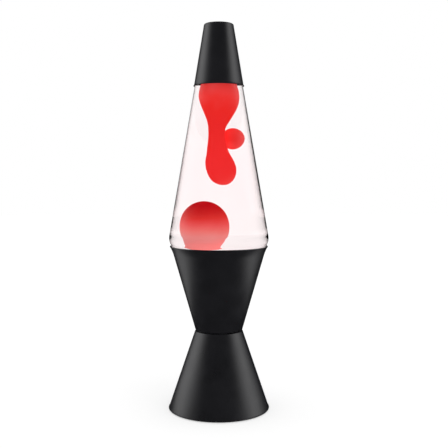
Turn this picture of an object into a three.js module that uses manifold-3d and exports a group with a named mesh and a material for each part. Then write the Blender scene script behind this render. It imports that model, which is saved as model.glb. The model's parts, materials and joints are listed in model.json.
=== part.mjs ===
// A lava lamp in millimetres, +Z up, standing on z = 0. A spun metal foot and cup meet at a narrow waist,
// around a lampholder. The cup holds a tapered glass globe of liquid and wax, under a metal cap.
import * as THREE from "three";
import { mergeVertices } from "three/addons/utils/BufferGeometryUtils.js";
import Module from "manifold-3d";

const wasm = await Module();
wasm.setup();

const clearance = 0.3; // between pieces that rest on each other
const roundSides = 48; // facets round the large pieces
const smallSides = 20; // facets round the lampholder and the bulb

const padProud = 0.8; // rubber feet, below the foot's rim
const padRadius = 5;
const padThickness = 1.4;
const padInset = 1.6; // from the foot's lip
const padCount = 4;

const footHeight = 75.7;
const footBaseRadius = 48.4; // of the cone, beside the rolled rim
const footTopRadius = 22.85;
const footWall = 0.8;
const footShoulder = 1.2;
const footBead = 0.6;
const footBeadProud = 0.35;
const footLipWidth = 3;
const footLipThickness = 0.6;

const coverThickness = 1;
const coverSlack = 0.6; // round its edge
const ventCount = 8;
const ventLength = 12;
const ventWidth = 3;
const ventCircle = 24;

const inletHeight = 13;
const inletBore = 2.4;
const inletNeck = 3.9;
const inletFlange = 5.4;
const inletFlangeThickness = 1.3;

const cupHeight = 81.4;
const cupBottomRadius = 22.55;
const cupRimRadius = 45.8; // of the cone, carried up to the rim
const cupWall = 0.8;
const cupCorner = 1.6;
const cupBead = 0.6;
const cupBeadProud = 0.3;
const cupFlare = 1; // of the rim, outside the cone
const cupFlareHeight = 9;

const kneeProud = 2.4; // of the globe, where its two tapers would meet, outside the cup's cone
const kneeAboveRim = 4.5;
const kneeRounding = 10;
const globeRise = 191.9; // from the knee up to the mouth
const globeWall = 2.4;
const globeCorner = 6;
const puntRise = 1;
const puntInset = 9.5;
const shoulderRadius = 17;
const shoulderRounding = 4;
const neckHeight = 7.2;
const neckSlope = 3.2; // height of the slope between shoulder and neck
const neckRadius = 13.3;
const throatRadius = 8.2;

const crownThickness = 0.35;
const crownFluteDepth = 0.6;
const crownFlutes = 21;
const crownSkirt = 6;
const linerThickness = 0.6;
const linerSlack = 0.4;

const capOverlap = 44.4; // below the globe's mouth
const capHeadroom = 13.7; // above the globe's mouth
const capWall = 0.55;
const capFit = 0.25;
const capCrownClearance = 0.85;
const capEdge = 1.4;
const capLipProud = 0.55;
const capLipHeight = 1.6;

const threadPitch = 2.822; // nine turns to the inch
const threadDepth = 0.7;
const threadRows = 5; // rows of facets in each turn
const threadClearance = 0.4;

const bulbLength = 58.7;
const bulbRadius = 17.45;
const bulbGlassWall = 0.7;
const bulbShellRadius = 8.25;
const bulbShellWall = 0.4;
const bulbShellHeight = 12.2;
const bulbShellSink = 4.1; // below the lampholder's rim
const insulatorHeight = 3.1;
const insulatorTip = 3.9;
const tipRadius = 3;
const tipHeight = 1.6;
const bulbTopGap = 10.3; // between the seated bulb and the globe's flat bottom
const filamentRadius = 6.5;
const filamentWire = 0.5;
const leadInWire = 0.35;
const stemRadius = 1.9;
const stemHeight = 15;

const holderWall = 3.3;
const holderTop = 6; // above the cup's floor
const holderCollar = 3.8;
const holderCollarThickness = 2.6;
const holderFloor = 4.6;
const holderMouth = 2; // depth of the flared mouth
const holeSlack = 0.5; // round the lampholder, in the foot and the cup
const shellBackWall = 0.45; // behind the lampholder's thread
const leafThickness = 0.4;
const leafWidth = 3.2;
const leafRise = 0.9;
const washerThickness = 0.6;
const ringWidth = 4.5;
const ringThickness = 3;
const ringSides = 8;

const terminalOffset = 7.5;
const terminalLength = 9;
const terminalWidth = 6.4;
const terminalThickness = 0.8;
const screwHeadRadius = 2.7;
const screwHeadHeight = 1.8;
const screwShank = 1.4;
const screwLength = 4.2;
const screwSlotWidth = 0.7;
const screwSlotDepth = 0.8;

const liquidDrop = 28.6; // below the globe's mouth
const poolDepth = 9;
const poolDome = 2;
const waxTouch = 0.25; // between two pieces of wax that have just parted
const ballRadius = 18.3;
const ballRise = 23.7; // its top, above its widest height
const ballSag = 15; // its flatter underside, below that height
const ballFlatness = 4; // exponent of the underside's outline
const ballSide = -10.5;
const ballHeight = 42.6; // its widest height, above the globe's floor
const humpRadius = 21;
const humpHalfHeight = 10;
const humpToBall = 10;
const peakRadius = 7; // of the hump's drawn-up crest, which has just let the ball go
const peakTipRadius = 0.8;
const peakDrop = 2; // its foot, below the hump's top
const ballToColumn = 15.2;
const dropRadius = 7.7;
const dropHalfHeight = 10.3;
const dropSide = 9.4;
const dropShare = 0.605; // of the column's length, below the liquid's surface
const coilInset = 8.5;
const coilRadius = 1.6;

// The column's outline: share of its length below the liquid's surface, radius, and sideways shift.
const columnOutline = [
  [0, 9, 0],
  [0.1, 11.6, 0],
  [0.23, 14.6, 0.2],
  [0.32, 13.3, 0.6],
  [0.4, 10.4, 0.5],
  [0.48, 7.2, -0.6],
  [0.56, 5.9, -1.4],
  [0.64, 6.6, -1.2],
  [0.74, 8.7, -0.4],
  [0.84, 11, 1.4],
  [0.92, 9.7, 2.4],
  [0.97, 7, 2.9],
  [1, 0, 3.2],
];

// Levels that several pieces share.
const footRim = padProud;
const footTop = footRim + footHeight;
const cupBottom = footTop + clearance;
const cupFloor = cupBottom + cupWall;
const cupTop = cupBottom + cupHeight;
const holderRim = cupFloor + holderTop;
const shellTop = holderRim - bulbShellSink;
const shellBottom = shellTop - bulbShellHeight;
const bulbBottom = shellBottom - 2 * clearance - insulatorHeight - tipHeight;
const bulbTop = bulbBottom + bulbLength;
const holderThreadTop = holderRim - holderMouth - clearance;
const holderSeat = bulbBottom - leafThickness - leafRise - 2 * clearance;
const holderBottom = holderSeat - holderFloor;
const globeBottom = bulbTop + bulbTopGap;
const globeFloor = globeBottom + globeWall;
const kneeHeight = cupTop + kneeAboveRim;
const mouth = kneeHeight + globeRise;
const shoulderHeight = mouth - neckHeight - neckSlope;
const linerBottom = mouth + clearance;
const crownTop = linerBottom + linerThickness + clearance + crownThickness;
const capLip = mouth - capOverlap;
const capTop = mouth + capHeadroom;
const liquidLevel = mouth - liquidDrop;

// The radius at a height on the straight line between two points.
const lineBetween = (a, b) => (z) => a.x + ((z - a.y) * (b.x - a.x)) / (b.y - a.y);

const footLine = lineBetween(
  new THREE.Vector2(footBaseRadius, footRim + footBead),
  new THREE.Vector2(footTopRadius, footTop),
);
const cupLine = lineBetween(
  new THREE.Vector2(cupBottomRadius, cupBottom),
  new THREE.Vector2(cupRimRadius, cupTop - cupBead),
);
const kneeRadius = cupRimRadius + kneeProud;
const globeLine = lineBetween(
  new THREE.Vector2(kneeRadius, kneeHeight),
  new THREE.Vector2(shoulderRadius, shoulderHeight),
);
const crownRadius = neckRadius + clearance + crownThickness + crownFluteDepth;
const capLine = lineBetween(
  new THREE.Vector2(globeLine(capLip) + capFit + capWall, capLip),
  new THREE.Vector2(crownRadius + capCrownClearance + capWall, crownTop),
);

const holderThread = bulbShellRadius + threadClearance; // at the roots of its thread
const holderShellRadius = holderThread + shellBackWall;
const holderBore = holderShellRadius + clearance;
const holderRadius = holderBore + holderWall;
const holderHole = holderRadius + holeSlack;
const ringBore = holderRadius + clearance;

// The globe's lower taper clears the bead of the cup's rim.
const knee = new THREE.Vector2(kneeRadius, kneeHeight);
const cupBeadRadius = cupRimRadius + cupFlare + cupBeadProud - cupBead;
const cupBeadCentre = new THREE.Vector2(cupBeadRadius, cupTop - cupBead);
const kneeToBead = cupBeadCentre.clone().sub(knee);
const taperAngle = kneeToBead.angle() - Math.asin((cupBead + clearance) / kneeToBead.length());
const globeBaseRadius = kneeRadius - (kneeHeight - globeBottom) / Math.tan(taperAngle);

// The points of an arc about a centre, between two angles in degrees.
function arc(r, z, radius, from, to, steps = 4) {
  return Array.from({ length: steps + 1 }, (_, i) => {
    const angle = THREE.MathUtils.degToRad(from + ((to - from) * i) / steps);
    return new THREE.Vector2(r + radius * Math.cos(angle), z + radius * Math.sin(angle));
  });
}

// A path through corners of radius, height and rounding, where each rounding is a tangent arc.
function rounded(corners, steps = 3) {
  return corners.flatMap(([r, z, rounding], i) => {
    const corner = new THREE.Vector2(r, z);
    if (!rounding) return [corner];
    const back = new THREE.Vector2(...corners[i - 1]).sub(corner);
    const on = new THREE.Vector2(...corners[i + 1]).sub(corner);
    const half = back.angleTo(on) / 2;
    const reach = Math.min(rounding / Math.tan(half), back.length() / 2, on.length() / 2);
    const middle = back.normalize().clone().add(on.normalize()).normalize();
    const centre = corner.clone().addScaledVector(middle, reach / Math.cos(half));
    const radius = reach * Math.tan(half);
    const start = corner.clone().addScaledVector(back, reach).sub(centre).angle();
    const end = corner.clone().addScaledVector(on, reach).sub(centre).angle();
    const turn = THREE.MathUtils.euclideanModulo(end - start + Math.PI, 2 * Math.PI) - Math.PI;
    const degrees = THREE.MathUtils.radToDeg(start);
    return arc(centre.x, centre.y, radius, degrees, degrees + THREE.MathUtils.radToDeg(turn), steps);
  });
}

// The same path a distance to its left.
function offset(path, distance) {
  return path.map((here, i) => {
    const before = path[Math.max(i - 1, 0)];
    const after = path[Math.min(i + 1, path.length - 1)];
    const arriving = (i ? here.clone().sub(before) : after.clone().sub(here)).normalize();
    const leaving = (i < path.length - 1 ? after.clone().sub(here) : arriving.clone()).normalize();
    const side = new THREE.Vector2(-arriving.y - leaving.y, arriving.x + leaving.x);
    return here.clone().addScaledVector(side, distance / (1 + arriving.dot(leaving)));
  });
}

// A solid of revolution from an outline drawn anticlockwise, with radius to the right and height up.
function revolve(outline, sides = roundSides) {
  const points = outline.map((p) => (Array.isArray(p) ? new THREE.Vector2(...p) : p));
  const onAxis = points[0].x === 0 && points.at(-1).x === 0;
  const closed = onAxis ? points : [...points, points[0].clone()];
  return new THREE.LatheGeometry(closed, sides).rotateX(Math.PI / 2);
}

function disc(radius, bottom, top, sides = smallSides) {
  const height = top - bottom;
  const cylinder = new THREE.CylinderGeometry(radius, radius, height, sides).rotateX(Math.PI / 2);
  return cylinder.translate(0, 0, bottom + height / 2);
}

function washer(bore, radius, bottom, top, sides = smallSides) {
  return revolve([[bore, bottom], [radius, bottom], [radius, top], [bore, top]], sides);
}

function ellipsoid(radius, halfHeight, sides, rows) {
  const ball = new THREE.SphereGeometry(1, sides, rows).rotateX(Math.PI / 2);
  return ball.scale(radius, radius, halfHeight);
}

function wire(points, radius, steps = 8) {
  const path = points.length > 2 ? new THREE.CatmullRomCurve3(points) : new THREE.LineCurve3(...points);
  const section = new THREE.Shape().absarc(0, 0, radius, 0, 2 * Math.PI);
  const options = { steps, extrudePath: path, bevelEnabled: false, curveSegments: 4 };
  return new THREE.ExtrudeGeometry(section, options);
}

function solid(geometry) {
  const plain = geometry.index ? geometry.toNonIndexed() : geometry.clone();
  plain.deleteAttribute("normal");
  plain.deleteAttribute("uv");
  const merged = mergeVertices(plain, 1e-3);
  const vertProperties = merged.getAttribute("position").array;
  const triVerts = new Uint32Array(merged.index.array);
  return new wasm.Manifold(new wasm.Mesh({ numProp: 3, vertProperties, triVerts }));
}

function geometryOf(manifold) {
  const { vertProperties, triVerts, numProp } = manifold.getMesh();
  const geometry = new THREE.BufferGeometry();
  geometry.setAttribute("position", new THREE.BufferAttribute(vertProperties, numProp));
  geometry.setIndex(new THREE.BufferAttribute(triVerts, 1));
  const faceted = geometry.toNonIndexed();
  faceted.computeVertexNormals();
  return faceted;
}

const cut = (from, ...tools) =>
  geometryOf(tools.reduce((left, tool) => left.subtract(solid(tool)), solid(from)));

// Waves the face of a lathed tube that has the given radius into a right-hand screw thread.
function threaded(geometry, faceRadius) {
  const position = geometry.getAttribute("position");
  for (let i = 0; i < position.count; i++) {
    const [x, y, z] = [position.getX(i), position.getY(i), position.getZ(i)];
    const radius = Math.hypot(x, y);
    if (Math.abs(radius - faceRadius) > 0.01) continue;
    const phase = (2 * Math.PI * z) / threadPitch - Math.atan2(y, x);
    const wave = 1 + ((threadDepth / 2) * Math.cos(phase)) / radius;
    position.setXY(i, x * wave, y * wave);
  }
  return geometry;
}

// Heights from bottom to top, close enough together to draw a thread.
function threadHeights(bottom, top) {
  const count = Math.round(((top - bottom) * threadRows) / threadPitch);
  return Array.from({ length: count + 1 }, (_, i) => bottom + ((top - bottom) * i) / count);
}

const root = new THREE.Group();
const base = new THREE.Group();
const bulb = new THREE.Group();
const globe = new THREE.Group();
const cap = new THREE.Group();
root.add(base, bulb, globe, cap);

function add(group, name, geometry, color, roughness, metalness = 0) {
  const mesh = new THREE.Mesh(geometry, new THREE.MeshStandardMaterial({ color, roughness, metalness }));
  mesh.name = name;
  group.add(mesh);
  return mesh;
}

const paint = [0x1a1a1c, 0.35];
const rubber = [0x161616, 0.9];
const phenolic = [0x2b1d17, 0.4];
const brass = [0xc9a24b, 0.3, 1];
const steel = [0xb9bcc0, 0.35, 1];
const wax = [0xe4282b, 0.35];

// The foot: a cone with a rolled rim, a lip that holds the cover in, and a flange under the waist.
const footTilt = Math.atan2(footBaseRadius - footTopRadius, footHeight - footBead);
const footInside = (z) => footLine(z) - footWall / Math.cos(footTilt);
const footBeadRadius = footBaseRadius + footBeadProud - footBead;
const footLipRadius = footInside(footRim) - footLipWidth;
const footLipTop = footRim + footLipThickness;

function footShell() {
  const side = rounded([
    [footLine(footRim + 2 * footBead), footRim + 2 * footBead],
    [footLine(footTop), footTop, footShoulder],
    [holderHole, footTop],
  ]);
  return revolve([
    [footLipRadius, footRim],
    ...arc(footBeadRadius, footRim + footBead, footBead, -90, 60),
    ...side,
    [holderHole, footTop - footWall],
    [footInside(footTop - footWall), footTop - footWall],
    [footInside(footLipTop), footLipTop],
    [footLipRadius, footLipTop],
  ]);
}

// Puts a piece that is built along +Z about its origin into the wall of the foot, at the back.
function atInlet(geometry) {
  const tilted = geometry.rotateX(footTilt - Math.PI / 2);
  return tilted.translate(0, footLine(inletHeight), inletHeight);
}

const inletHole = atInlet(disc(inletNeck + clearance, -3 * footWall, 3 * footWall));
add(base, "foot_cone", cut(footShell(), inletHole), ...paint);

// A grommet for the cord, with its inner flange clear of the curved wall.
const wallSag = inletFlange ** 2 / (2 * footLine(inletHeight));
const inletInner = -footWall - clearance - wallSag;
const inletBushing = atInlet(
  revolve(
    [
      [inletBore, inletInner - inletFlangeThickness],
      [inletFlange, inletInner - inletFlangeThickness],
      [inletFlange, inletInner],
      [inletNeck, inletInner],
      [inletNeck, clearance],
      [inletFlange, clearance],
      [inletFlange, clearance + inletFlangeThickness],
      [inletBore, clearance + inletFlangeThickness],
    ],
    smallSides,
  ),
);
add(base, "cord_inlet_bushing", inletBushing, ...rubber);

// The cover: a vented disc above the foot's lip, on rubber feet.
const coverBottom = footLipTop + clearance;
const coverTop = coverBottom + coverThickness;
const coverRadius = footInside(coverTop) - coverSlack;
const vents = Array.from({ length: ventCount }, (_, i) =>
  new THREE.BoxGeometry(ventLength, ventWidth, 4 * coverThickness)
    .translate(ventCircle, 0, coverBottom)
    .rotateZ((2 * Math.PI * (i + 0.5)) / ventCount),
);
add(base, "bottom_cover", cut(disc(coverRadius, coverBottom, coverTop, roundSides), ...vents), 0x202022, 0.6);

const padCircle = footLipRadius - padInset - padRadius;
for (let i = 0; i < padCount; i++) {
  const angle = (2 * Math.PI * (i + 0.5)) / padCount;
  const pad = add(base, `foot_pad_${i + 1}`, disc(padRadius, 0, padThickness), ...rubber);
  pad.position.set(padCircle * Math.cos(angle), padCircle * Math.sin(angle), 0);
}

// The cup: a cone whose rim flares to a bead, clamped to the foot's flange by its floor.
const cupTilt = Math.atan2(cupRimRadius - cupBottomRadius, cupHeight - cupBead);
const cupInside = (z) => cupLine(z) - cupWall / Math.cos(cupTilt);
const flareBottom = cupTop - cupFlareHeight;
const flareTop = cupTop - 2 * cupBead;
const flared = (line) =>
  [0, 0.25, 0.5, 0.75, 1].map((share) => {
    const z = THREE.MathUtils.lerp(flareBottom, flareTop, share);
    return [line(z) + cupFlare * share ** 2, z];
  });
const cupSide = rounded([
  [holderHole, cupBottom],
  [cupBottomRadius, cupBottom, cupCorner],
  [cupLine(flareBottom), flareBottom],
]);
const cupShell = revolve([
  ...cupSide,
  ...flared(cupLine).slice(1),
  ...arc(cupBeadCentre.x, cupBeadCentre.y, cupBead, -40, 180),
  ...flared(cupInside).reverse(),
  [cupInside(cupFloor), cupFloor],
  [holderHole, cupFloor],
]);
add(base, "cup_cone", cupShell, ...paint);

// The lampholder: a moulded body whose collar is pulled up under the foot by a ring nut on the cup's floor.
const collarTop = footTop - footWall - clearance;
const collarRadius = holderRadius + holderCollar;
const holderOutline = [
  [0, holderBottom],
  [holderRadius, holderBottom],
  [holderRadius, collarTop - holderCollarThickness],
  [collarRadius, collarTop - holderCollarThickness],
  [collarRadius, collarTop],
  [holderRadius, collarTop],
  [holderRadius, holderRim],
  [holderBore + holderMouth / 2, holderRim],
  [holderBore, holderRim - holderMouth],
  [holderBore, shellBottom - holderMouth],
  [bulbShellRadius - 1, shellBottom - holderMouth],
  [bulbShellRadius - 1, holderSeat],
  [0, holderSeat],
];
const terminalSides = { live: 1, neutral: -1 };
const screwHoles = Object.values(terminalSides).map((side) =>
  disc(screwShank + clearance, holderBottom - 1, holderSeat - 1, 12).translate(side * terminalOffset, 0, 0),
);
add(base, "lampholder_body", cut(revolve(holderOutline, smallSides), ...screwHoles), ...phenolic);

const holderShellBottom = shellBottom - holderMouth + clearance;
const holderThreadRadius = holderThread - threadDepth / 2;
const holderShell = revolve(
  [
    [bulbShellRadius - 0.8, holderShellBottom],
    [holderShellRadius, holderShellBottom],
    [holderShellRadius, holderThreadTop],
    ...threadHeights(holderShellBottom + leafThickness, holderThreadTop)
      .reverse()
      .map((z) => [holderThreadRadius, z]),
    [bulbShellRadius - 0.8, holderShellBottom + leafThickness],
  ],
  smallSides,
);
add(base, "lampholder_shell", threaded(holderShell, holderThreadRadius), ...brass);

// The centre contact: a leaf bent up under the bulb's tip.
const leafReach = bulbShellRadius - 1 - 2 * clearance;
const leafBase = holderSeat + clearance;
const leafSide = new THREE.Shape([
  new THREE.Vector2(-leafReach, leafBase),
  new THREE.Vector2(-leafReach / 2, leafBase),
  new THREE.Vector2(0, leafBase + leafRise),
  new THREE.Vector2(leafReach / 2, leafBase + leafRise / 2),
  new THREE.Vector2(leafReach / 2, leafBase + leafRise / 2 + leafThickness),
  new THREE.Vector2(0, leafBase + leafRise + leafThickness),
  new THREE.Vector2(-leafReach / 2, leafBase + leafThickness),
  new THREE.Vector2(-leafReach, leafBase + leafThickness),
]);
const leaf = new THREE.ExtrudeGeometry(leafSide, { depth: leafWidth, bevelEnabled: false });
leaf.translate(0, 0, -leafWidth / 2).rotateX(Math.PI / 2);
add(base, "lampholder_centre_contact", leaf, ...brass);

const washerBottom = cupFloor + clearance;
const ringBottom = washerBottom + washerThickness + clearance;
const ringRadius = ringBore + ringWidth;
const lockWasher = washer(ringBore, ringRadius - 1, washerBottom, washerBottom + washerThickness);
add(base, "lock_washer", lockWasher, ...steel);
const ring = disc(ringRadius, ringBottom, ringBottom + ringThickness, ringSides);
const ringHole = disc(ringBore, ringBottom - 1, ringBottom + ringThickness + 1);
add(base, "clamp_ring", cut(ring, ringHole), ...steel);

// Two screw terminals under the lampholder.
const terminalTop = holderBottom - clearance;
const terminalBottom = terminalTop - terminalThickness;
const headTop = terminalBottom - clearance;
for (const [name, side] of Object.entries(terminalSides)) {
  const plate = new THREE.BoxGeometry(terminalLength, terminalWidth, terminalThickness);
  plate.translate(0, 0, terminalTop - terminalThickness / 2);
  const hole = disc(screwShank + clearance, terminalBottom - 1, terminalTop + 1, 12);
  const plateMesh = add(base, `terminal_${name}`, cut(plate, hole), ...brass);
  plateMesh.position.x = side * terminalOffset;

  const head = disc(screwHeadRadius, headTop - screwHeadHeight, headTop, 16);
  const shank = disc(screwShank, headTop - screwHeadHeight / 2, headTop + screwLength, 12);
  const slot = new THREE.BoxGeometry(3 * screwHeadRadius, screwSlotWidth, 2 * screwSlotDepth);
  slot.translate(0, 0, headTop - screwHeadHeight);
  const screw = geometryOf(solid(head).add(solid(shank)).subtract(solid(slot)));
  const screwMesh = add(base, `terminal_screw_${name}`, screw, ...steel);
  screwMesh.position.x = side * terminalOffset;
}

// The bulb: a brass screw shell on a glass insulator and a tip contact.
const tip = revolve(
  [
    [0, bulbBottom],
    [tipRadius * 0.6, bulbBottom],
    [tipRadius, bulbBottom + tipHeight / 2],
    [tipRadius, bulbBottom + tipHeight],
    [0, bulbBottom + tipHeight],
  ],
  smallSides,
);
add(bulb, "bulb_tip_contact", tip, 0x9a9a98, 0.4, 1);

const insulatorBottom = bulbBottom + tipHeight + clearance;
const shellMean = bulbShellRadius - threadDepth / 2;
const shellBore = shellMean - threadDepth / 2 - bulbShellWall;
const insulator = revolve(
  [
    [0, insulatorBottom],
    [insulatorTip, insulatorBottom],
    [shellBore, insulatorBottom + insulatorHeight],
    [0, insulatorBottom + insulatorHeight],
  ],
  smallSides,
);
add(bulb, "bulb_insulator", insulator, 0x101010, 0.2);

const screwShell = revolve(
  [
    [shellBore, shellBottom],
    ...threadHeights(shellBottom, shellTop).map((z) => [shellMean, z]),
    [shellBore, shellTop],
  ],
  smallSides,
);
add(bulb, "bulb_screw_shell", threaded(screwShell, shellMean), ...brass);

// Its glass: a neck cemented inside the shell, flaring into a round envelope.
const neckOutside = shellBore - clearance;
const envelopeCentre = bulbTop - bulbRadius;
const flareHeight = shellTop + clearance + 0.5;
const envelope = [
  new THREE.Vector2(neckOutside, shellTop - 5),
  new THREE.Vector2(neckOutside, shellTop + clearance),
  new THREE.Vector2(shellBore + bulbShellWall, flareHeight + 1),
  ...arc(0, envelopeCentre, bulbRadius, -44, 90, 10),
];
const envelopeInside = offset(envelope, bulbGlassWall);
envelopeInside.at(-1).x = 0;
envelope.at(-1).x = 0;
const bulbGlass = revolve([...envelope, ...envelopeInside.reverse(), envelope[0]], smallSides);
add(bulb, "bulb_glass", bulbGlass, 0xfff2d8, 0.05);

const stemBottom = shellTop - 4;
const stemTop = stemBottom + stemHeight;
const stemFlare = neckOutside - bulbGlassWall - clearance;
const stem = revolve(
  [
    [0, stemBottom],
    [stemFlare, stemBottom],
    [stemRadius, stemBottom + 4],
    [stemRadius, stemTop],
    [0, stemTop],
  ],
  12,
);
add(bulb, "bulb_stem", stem, 0xe8efef, 0.05);

const filamentHeight = envelopeCentre + 1.5;
for (const [name, side] of [["left", -1], ["right", 1]]) {
  const leadIn = wire(
    [
      new THREE.Vector3((side * stemRadius) / 2, 0, stemTop + clearance),
      new THREE.Vector3(side * filamentRadius, 0, filamentHeight - filamentWire - clearance),
    ],
    leadInWire,
    1,
  );
  add(bulb, `bulb_lead_in_${name}`, leadIn, ...steel);
}
const filamentArc = Array.from({ length: 9 }, (_, i) => {
  const angle = (Math.PI * i) / 8;
  const [x, y] = [filamentRadius * Math.cos(angle), filamentRadius * Math.sin(angle)];
  return new THREE.Vector3(x, y, filamentHeight);
});
add(bulb, "bulb_filament", wire(filamentArc, filamentWire, 12), 0xffc46b, 0.5, 1);

// The globe: glass with a shallow punt, tapering from its knee to a bottle mouth.
const globeBody = [
  [globeBaseRadius, globeBottom, globeCorner],
  [kneeRadius, kneeHeight, kneeRounding],
  [shoulderRadius, shoulderHeight, shoulderRounding],
  [neckRadius, mouth - neckHeight],
];
const globeInside = offset(rounded([[0, globeBottom], ...globeBody]), globeWall);
const globeOutside = rounded([
  [0, globeBottom + puntRise],
  [globeBaseRadius - puntInset, globeBottom],
  ...globeBody,
]);
const globeGlass = revolve([
  ...globeOutside,
  [neckRadius, mouth],
  [throatRadius, mouth],
  [throatRadius, globeInside.at(-1).y],
  ...globeInside.toReversed(),
]);
add(globe, "globe_glass", globeGlass, 0xf6ecec, 0.03);

const liner = disc(neckRadius - linerSlack, linerBottom, linerBottom + linerThickness);
add(globe, "crown_liner", liner, 0xcfcac0, 0.8);

// The crown closure: a pressed disc whose skirt is fluted round the mouth.
function crownCap() {
  const outer = crownRadius - crownFluteDepth / 2;
  const inner = outer - crownThickness;
  const skirtBottom = crownTop - crownSkirt;
  const crown = revolve(
    [
      [0, crownTop - crownThickness],
      [inner - 0.8, crownTop - crownThickness],
      [inner, crownTop - 1.2],
      [inner, skirtBottom],
      [outer, skirtBottom],
      [outer, crownTop - 1.2],
      [outer - 0.8, crownTop],
      [0, crownTop],
    ],
    2 * crownFlutes,
  );
  const position = crown.getAttribute("position");
  for (let i = 0; i < position.count; i++) {
    const [x, y, z] = [position.getX(i), position.getY(i), position.getZ(i)];
    const radius = Math.hypot(x, y);
    if (radius < inner - 0.1 || z > crownTop - 1) continue;
    const share = (crownTop - 1.2 - z) / (crownSkirt - 1.2);
    const wave = (crownFluteDepth / 2) * share * Math.cos(crownFlutes * Math.atan2(y, x));
    position.setXY(i, (x * (radius + wave)) / radius, (y * (radius + wave)) / radius);
  }
  return crown;
}
add(globe, "crown_cap", crownCap(), 0xd8b25a, 0.3, 1);

// The wax: a pool over a wire coil, a ball leaving it, a column hanging from the surface, and a drop behind.
const ballMiddle = globeFloor + ballHeight;
const ballBottom = ballMiddle - ballSag;
const humpTop = ballBottom - humpToBall;
const peakFoot = humpTop - peakDrop;
const peakTop = ballBottom - waxTouch;
const columnLength = liquidLevel - (ballMiddle + ballRise + ballToColumn);
const dropCentre = liquidLevel - columnLength * dropShare;
const columnCurve = new THREE.CatmullRomCurve3(
  columnOutline.map(([share, radius, shift]) => new THREE.Vector3(radius, shift, share)),
);
const columnRows = columnCurve.getPoints(20);

function column(grow) {
  const bottomUp = columnRows.toReversed();
  const rows = bottomUp.map(({ x, z }, i) => [i ? x + grow : 0, liquidLevel - columnLength * z]);
  rows[0][1] -= grow;
  rows.at(-1)[1] += grow;
  const lathed = revolve([...rows, [0, rows.at(-1)[1]]], 16);
  const position = lathed.getAttribute("position");
  for (let i = 0; i < position.count; i++) {
    const share = (liquidLevel - position.getZ(i)) / columnLength;
    const above = columnRows.findLastIndex((row) => row.z <= share);
    const row = columnRows[THREE.MathUtils.clamp(above, 0, columnRows.length - 2)];
    const next = columnRows[columnRows.indexOf(row) + 1];
    const along = THREE.MathUtils.clamp((share - row.z) / (next.z - row.z), 0, 1);
    position.setX(i, position.getX(i) + THREE.MathUtils.lerp(row.y, next.y, along));
  }
  return lathed;
}

// The drop is as near behind the column as it can be, at the height where they are closest.
const dropBacks = columnCurve.getPoints(100).map((row) => {
  const rise = (liquidLevel - columnLength * row.z - dropCentre) / dropHalfHeight;
  const reach = row.x + dropRadius * Math.sqrt(Math.max(1 - rise ** 2, 0)) + waxTouch;
  return Math.abs(rise) < 1 ? Math.sqrt(Math.max(reach ** 2 - (dropSide - row.y) ** 2, 0)) : 0;
});
const dropBack = Math.max(...dropBacks);
const drop = (grow) =>
  ellipsoid(dropRadius + grow, dropHalfHeight + grow, 14, 8).translate(dropSide, dropBack, dropCentre);

// The ball is round above its widest height and flatter below it.
function ball(grow) {
  const rows = arc(0, 0, 1, -90, 90, 14).map(({ x, y }) => {
    const power = y < 0 ? 2 / ballFlatness : 1;
    const rise = Math.sign(y) * Math.abs(y) ** power * (y < 0 ? ballSag + grow : ballRise + grow);
    return [Math.max(x, 0) ** power * (ballRadius + grow), rise];
  });
  rows[0][0] = 0;
  rows.at(-1)[0] = 0;
  return revolve(rows, 20).translate(ballSide, 0, ballMiddle);
}

function poolShape(grow) {
  const edge = globeFloor + poolDepth + grow;
  const slab = revolve([
    [0, globeBottom],
    [kneeRadius, globeBottom],
    [kneeRadius, edge],
    [globeBaseRadius / 2, edge + poolDome],
    [0, edge + poolDome],
  ]);
  const hump = ellipsoid(humpRadius + grow, humpHalfHeight + grow, 16, 8);
  hump.translate(ballSide, 0, humpTop - humpHalfHeight);
  const peak = revolve(
    [
      [0, edge],
      [peakRadius + grow, edge],
      [peakRadius + grow, peakFoot],
      [peakTipRadius + grow, peakTop + grow],
      [0, peakTop + grow],
    ],
    12,
  ).translate(ballSide, 0, 0);
  return solid(slab).add(solid(hump)).add(solid(peak));
}

const wetPath = offset(globeInside, clearance).filter((p) => p.y < liquidLevel);
const wetLine = lineBetween(wetPath.at(-1), offset(globeInside, clearance)[wetPath.length]);
const contents = solid(revolve([...wetPath, [wetLine(liquidLevel), liquidLevel], [0, liquidLevel]]));

const coilCircle = globeBaseRadius - coilInset;
const coilHeight = globeFloor + clearance + coilRadius;
const coil = (grow) =>
  new THREE.TorusGeometry(coilCircle, coilRadius + grow, 6, 30).translate(0, 0, coilHeight);
const pool = contents.intersect(poolShape(0)).subtract(solid(coil(clearance)));
add(globe, "wax_pool", geometryOf(pool), ...wax);
add(globe, "wire_coil", coil(0), ...steel);
add(globe, "wax_ball", ball(0), ...wax);
add(globe, "wax_column", column(0), ...wax);
add(globe, "wax_drop", drop(0), ...wax);
const overPool = geometryOf(contents.subtract(poolShape(clearance)));
const liquid = cut(overPool, column(clearance), ball(clearance), drop(clearance));
add(globe, "liquid", liquid, 0xfbeeee, 0.02);

// The cap: a truncated cone with a small flared lip, over the globe's upper end.
const capSide = rounded([
  [capLine(capLip + capLipHeight), capLip + capLipHeight],
  [capLine(capTop), capTop, capEdge],
  [0, capTop],
]);
const capShell = revolve([
  [capLine(capLip) - capWall, capLip],
  [capLine(capLip) + capLipProud, capLip],
  ...capSide,
  [0, capTop - capWall],
  [capLine(capTop - capWall) - capWall - capEdge / 2, capTop - capWall],
  [capLine(capTop - capEdge) - capWall, capTop - capEdge],
]);
add(cap, "top_cap", capShell, ...paint);

export default root;
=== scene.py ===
import json
import math

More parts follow.
